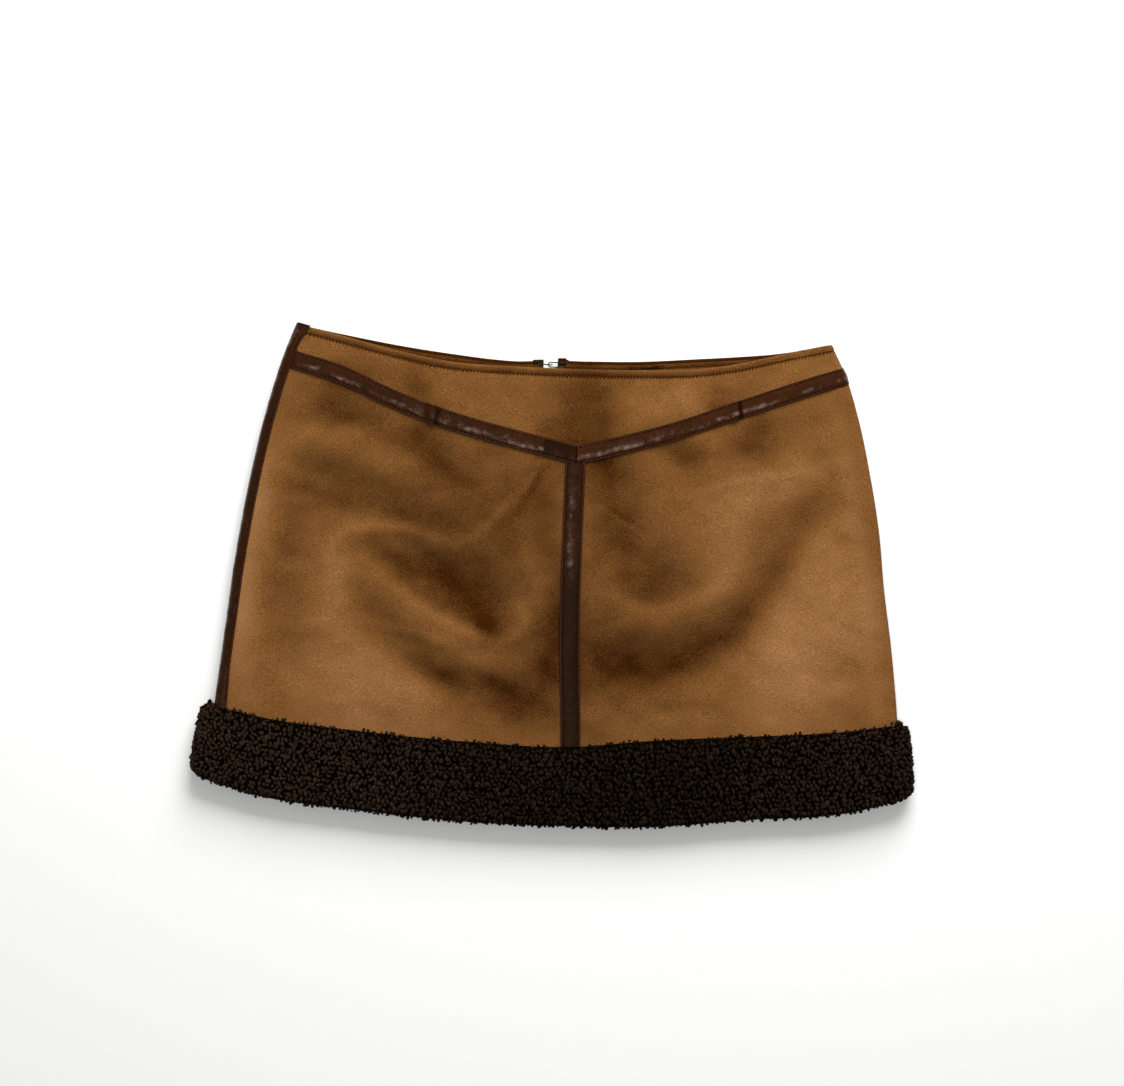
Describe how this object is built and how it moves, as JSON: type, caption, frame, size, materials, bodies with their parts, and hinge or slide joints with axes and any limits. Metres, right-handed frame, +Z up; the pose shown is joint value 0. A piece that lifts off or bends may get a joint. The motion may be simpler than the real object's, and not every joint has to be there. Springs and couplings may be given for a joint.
{
  "type": "shearling-trimmed mini skirt",
  "caption": "Low-rise A-line mini skirt in suede cloth with leather strips over its seams, a slanted yoke and a curly pile hem band, laid flat, front up.",
  "frame": {"origin": "on the floor, under the middle of the skirt's bounding box", "axes": "+X across the skirt to the right of one who looks down at its front, +Y from the hem to the waist, +Z up from the floor"},
  "size_m": [0.5068, 0.3456, 0.019],
  "materials": {
    "suede": "tan suede cloth with a short brushed nap",
    "leather": "dark brown leather, semi-gloss and finely creased",
    "pile": "dark brown curly pile",
    "zip_cloth": "dark brown woven tape",
    "metal": "dark antique metal"
  },
  "bodies": {
    "skirt": {"front_yoke": "suede", "front_left": "suede", "front_right": "suede", "back_left": "suede", "back_right": "suede", "yoke_strip_left_outer": "leather", "yoke_strip_left_inner": "leather", "yoke_strip_left_tip": "leather", "yoke_strip_right_inner": "leather", "yoke_strip_right_outer": "leather", "centre_front_strip": "leather", "side_strip_left": "leather", "side_strip_right": "leather", "back_strip_left": "leather", "back_strip_right": "leather", "hem_band_front": "pile", "hem_band_back": "pile", "zip_tape": "zip_cloth", "zip_slider": "metal", "waist_hook": "metal", "waist_eye": "metal"},
    "pull_tab": {"zip_pull_tab": "metal"}
  },
  "joints": [
    {"name": "pull_tab_swing", "type": "hinge", "parent": "skirt", "child": "pull_tab", "pos_m": [-0.01219, 0.13638, 0.0025], "axis": [1, 0, 0], "range_deg": [0, 170]}
  ]
}
